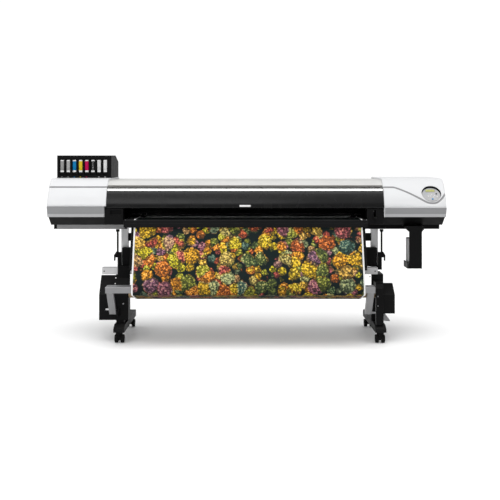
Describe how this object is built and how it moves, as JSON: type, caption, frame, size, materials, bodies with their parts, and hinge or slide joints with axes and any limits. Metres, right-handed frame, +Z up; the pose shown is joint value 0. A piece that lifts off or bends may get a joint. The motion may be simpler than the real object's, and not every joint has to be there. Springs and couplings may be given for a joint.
{
  "type": "wide-format printer cutter",
  "caption": "Wide-format roll printer and cutter on a wheeled stand, with a hinged front cover, ink rack, control panel, feed roll and a take-up unit with a tension arm.",
  "frame": {"origin": "centre of the bounding box's base, on the floor under the casters", "axes": "+X to the operator's right along the print width, +Y to the rear, +Z up"},
  "size_m": [2.86, 0.888, 1.343],
  "materials": {
    "white_cover": "satin moulded",
    "band_grey": "satin moulded, grey",
    "black_plastic": "fine textured",
    "gloss_black": "gloss",
    "silver_panel": "satin silver",
    "light_grey_metal": "powder coated light grey",
    "mid_grey_metal": "powder coated grey",
    "black_metal": "black powder coat",
    "foot_black": "black powder coat on a casting",
    "steel": "machined",
    "roller_steel": "ground",
    "rubber": "matt",
    "print_media": "printed vinyl, satin",
    "cardboard": "spiral-wound board",
    "bottle_grey": "translucent moulding",
    "panel_grey": "satin",
    "button_dark": "satin",
    "button_blue": "satin",
    "button_white": "satin",
    "cartridge_shell": "satin",
    "platen_black": "black anodised"
  },
  "bodies": {
    "root": {"left_foot": "foot_black", "right_foot": "foot_black", "left_column": "light_grey_metal", "right_column": "light_grey_metal", "crossbeam": "black_metal", "chassis": "steel", "left_cover": "white_cover", "right_cover": "white_cover", "left_trim": "band_grey", "right_trim": "band_grey", "left_lower_cover": "black_plastic", "right_lower_cover": "black_plastic", "power_inlet": "black_plastic", "top_cover": "silver_panel", "rear_cover": "black_metal", "guide_rail": "steel", "platen": "platen_black", "exit_guide": "black_plastic", "media_web": "print_media", "apron": "black_metal", "ink_rack": "black_plastic", "control_panel": "panel_grey", "bottle_guard": "black_metal", "drain_bottle": "bottle_grey", "take_up_beam": "light_grey_metal", "take_up_drive": "black_plastic", "take_up_holder": "black_plastic", "roll_carrier": "black_metal"},
    "front_cover": {"front_cover": "gloss_black"},
    "print_carriage": {"print_carriage": "black_plastic"},
    "cutting_carriage": {"cutting_carriage": "black_plastic"},
    "tool_holder": {"tool_holder": "silver_panel"},
    "grit_roller": {"grit_roller": "roller_steel"},
    "pinch_bar": {"pinch_bar": "roller_steel"},
    "pinch_roller_left": {"pinch_roller_left": "rubber"},
    "pinch_roller_right": {"pinch_roller_right": "rubber"},
    "loading_lever": {"loading_lever": "black_plastic"},
    "ink_cartridge_1": {"ink_cartridge_1": "cartridge_shell"},
    "ink_cartridge_2": {"ink_cartridge_2": "cartridge_shell"},
    "ink_cartridge_3": {"ink_cartridge_3": "cartridge_shell"},
    "ink_cartridge_4": {"ink_cartridge_4": "cartridge_shell"},
    "ink_cartridge_5": {"ink_cartridge_5": "cartridge_shell"},
    "ink_cartridge_6": {"ink_cartridge_6": "cartridge_shell"},
    "ink_cartridge_7": {"ink_cartridge_7": "cartridge_shell"},
    "ink_cartridge_8": {"ink_cartridge_8": "cartridge_shell"},
    "left_front_caster_fork": {"left_front_caster_fork": "black_plastic"},
    "left_front_caster_wheels": {"left_front_caster_wheels": "rubber"},
    "left_rear_caster_fork": {"left_rear_caster_fork": "black_plastic"},
    "left_rear_caster_wheels": {"left_rear_caster_wheels": "rubber"},
    "right_front_caster_fork": {"right_front_caster_fork": "black_plastic"},
    "right_front_caster_wheels": {"right_front_caster_wheels": "rubber"},
    "right_rear_caster_fork": {"right_rear_caster_fork": "black_plastic"},
    "right_rear_caster_wheels": {"right_rear_caster_wheels": "rubber"},
    "tension_arm": {"tension_arm": "mid_grey_metal"},
    "take_up_roll": {"take_up_roll": "cardboard"},
    "feed_roll": {"feed_roll": "cardboard"},
    "menu_button": {"menu_button": "button_dark"},
    "enter_button": {"enter_button": "button_blue"},
    "left_button": {"left_button": "button_white"},
    "right_button": {"right_button": "button_white"}
  },
  "joints": [
    {"name": "front_cover_hinge", "type": "hinge", "parent": "root", "child": "front_cover", "pos_m": [0, -0.18398, 1.103], "axis": [-1, 0, 0], "range_deg": [0, 60]},
    {"name": "print_carriage_travel", "type": "slide", "parent": "root", "child": "print_carriage", "axis": [1, 0, 0], "range_m": [-2.03, 0]},
    {"name": "cutting_carriage_travel", "type": "slide", "parent": "root", "child": "cutting_carriage", "axis": [1, 0, 0], "range_m": [0, 2.15]},
    {"name": "tool_holder_drop", "type": "slide", "parent": "cutting_carriage", "child": "tool_holder", "axis": [0, 0, -1], "range_m": [0, 0.012], "stiffness_N_per_m": 200, "springref_m": -0.004},
    {"name": "grit_roller_spin", "type": "hinge", "parent": "root", "child": "grit_roller", "pos_m": [0, -0.06598, 0.876], "axis": [1, 0, 0], "continuous": true},
    {"name": "pinch_bar_lift", "type": "hinge", "parent": "root", "child": "pinch_bar", "pos_m": [0, -0.01098, 0.908], "axis": [-1, 0, 0], "range_deg": [0, 8]},
    {"name": "pinch_roller_left_spin", "type": "hinge", "parent": "pinch_bar", "child": "pinch_roller_left", "pos_m": [-0.76, -0.06598, 0.8975], "axis": [1, 0, 0], "continuous": true},
    {"name": "pinch_roller_right_spin", "type": "hinge", "parent": "pinch_bar", "child": "pinch_roller_right", "pos_m": [0.78, -0.06598, 0.8975], "axis": [1, 0, 0], "continuous": true},
    {"name": "loading_lever_hinge", "type": "hinge", "parent": "root", "child": "loading_lever", "pos_m": [0.9165, -0.15598, 0.902], "axis": [-1, 0, 0], "range_deg": [0, 25]},
    {"name": "ink_cartridge_1_pull", "type": "slide", "parent": "root", "child": "ink_cartridge_1", "axis": [0, -1, 0], "range_m": [0, 0.25]},
    {"name": "ink_cartridge_2_pull", "type": "slide", "parent": "root", "child": "ink_cartridge_2", "axis": [0, -1, 0], "range_m": [0, 0.25]},
    {"name": "ink_cartridge_3_pull", "type": "slide", "parent": "root", "child": "ink_cartridge_3", "axis": [0, -1, 0], "range_m": [0, 0.25]},
    {"name": "ink_cartridge_4_pull", "type": "slide", "parent": "root", "child": "ink_cartridge_4", "axis": [0, -1, 0], "range_m": [0, 0.25]},
    {"name": "ink_cartridge_5_pull", "type": "slide", "parent": "root", "child": "ink_cartridge_5", "axis": [0, -1, 0], "range_m": [0, 0.25]},
    {"name": "ink_cartridge_6_pull", "type": "slide", "parent": "root", "child": "ink_cartridge_6", "axis": [0, -1, 0], "range_m": [0, 0.25]},
    {"name": "ink_cartridge_7_pull", "type": "slide", "parent": "root", "child": "ink_cartridge_7", "axis": [0, -1, 0], "range_m": [0, 0.25]},
    {"name": "ink_cartridge_8_pull", "type": "slide", "parent": "root", "child": "ink_cartridge_8", "axis": [0, -1, 0], "range_m": [0, 0.25]},
    {"name": "left_front_caster_swivel", "type": "hinge", "parent": "root", "child": "left_front_caster_fork", "pos_m": [-0.912, -0.24398, 0], "axis": [0, 0, 1], "continuous": true},
    {"name": "left_front_caster_roll", "type": "hinge", "parent": "left_front_caster_fork", "child": "left_front_caster_wheels", "pos_m": [-0.912, -0.22598, 0.03], "axis": [1, 0, 0], "continuous": true},
    {"name": "left_rear_caster_swivel", "type": "hinge", "parent": "root", "child": "left_rear_caster_fork", "pos_m": [-0.912, 0.36902, 0], "axis": [0, 0, 1], "continuous": true},
    {"name": "left_rear_caster_roll", "type": "hinge", "parent": "left_rear_caster_fork", "child": "left_rear_caster_wheels", "pos_m": [-0.912, 0.38702, 0.03], "axis": [1, 0, 0], "continuous": true},
    {"name": "right_front_caster_swivel", "type": "hinge", "parent": "root", "child": "right_front_caster_fork", "pos_m": [0.956, -0.24398, 0], "axis": [0, 0, 1], "continuous": true},
    {"name": "right_front_caster_roll", "type": "hinge", "parent": "right_front_caster_fork", "child": "right_front_caster_wheels", "pos_m": [0.956, -0.22598, 0.03], "axis": [1, 0, 0], "continuous": true},
    {"name": "right_rear_caster_swivel", "type": "hinge", "parent": "root", "child": "right_rear_caster_fork", "pos_m": [0.956, 0.36902, 0], "axis": [0, 0, 1], "continuous": true},
    {"name": "right_rear_caster_roll", "type": "hinge", "parent": "right_rear_caster_fork", "child": "right_rear_caster_wheels", "pos_m": [0.956, 0.38702, 0.03], "axis": [1, 0, 0], "continuous": true},
    {"name": "tension_arm_pivot", "type": "hinge", "parent": "root", "child": "tension_arm", "pos_m": [0, -0.23598, 0.216], "axis": [-1, 0, 0], "range_deg": [0, 20]},
    {"name": "take_up_roll_spin", "type": "hinge", "parent": "root", "child": "take_up_roll", "pos_m": [0, -0.17098, 0.352], "axis": [1, 0, 0], "continuous": true},
    {"name": "feed_roll_spin", "type": "hinge", "parent": "root", "child": "feed_roll", "pos_m": [0, 0.35402, 0.65], "axis": [1, 0, 0], "continuous": true},
    {"name": "menu_button_press", "type": "slide", "parent": "root", "child": "menu_button", "axis": [0, 0.829, -0.5592], "range_m": [0, 0.0015], "stiffness_N_per_m": 300},
    {"name": "enter_button_press", "type": "slide", "parent": "root", "child": "enter_button", "axis": [0, 0.829, -0.5592], "range_m": [0, 0.0015], "stiffness_N_per_m": 300},
    {"name": "left_button_press", "type": "slide", "parent": "root", "child": "left_button", "axis": [0, 0.829, -0.5592], "range_m": [0, 0.0015], "stiffness_N_per_m": 300},
    {"name": "right_button_press", "type": "slide", "parent": "root", "child": "right_button", "axis": [0, 0.829, -0.5592], "range_m": [0, 0.0015], "stiffness_N_per_m": 300}
  ],
  "couplings": [
    {"joint": "pinch_bar_lift", "follows": "loading_lever_hinge", "ratio": 0.32},
    {"joint": "pinch_roller_left_spin", "follows": "grit_roller_spin", "ratio": -1.1111},
    {"joint": "pinch_roller_right_spin", "follows": "grit_roller_spin", "ratio": -1.1111}
  ]
}
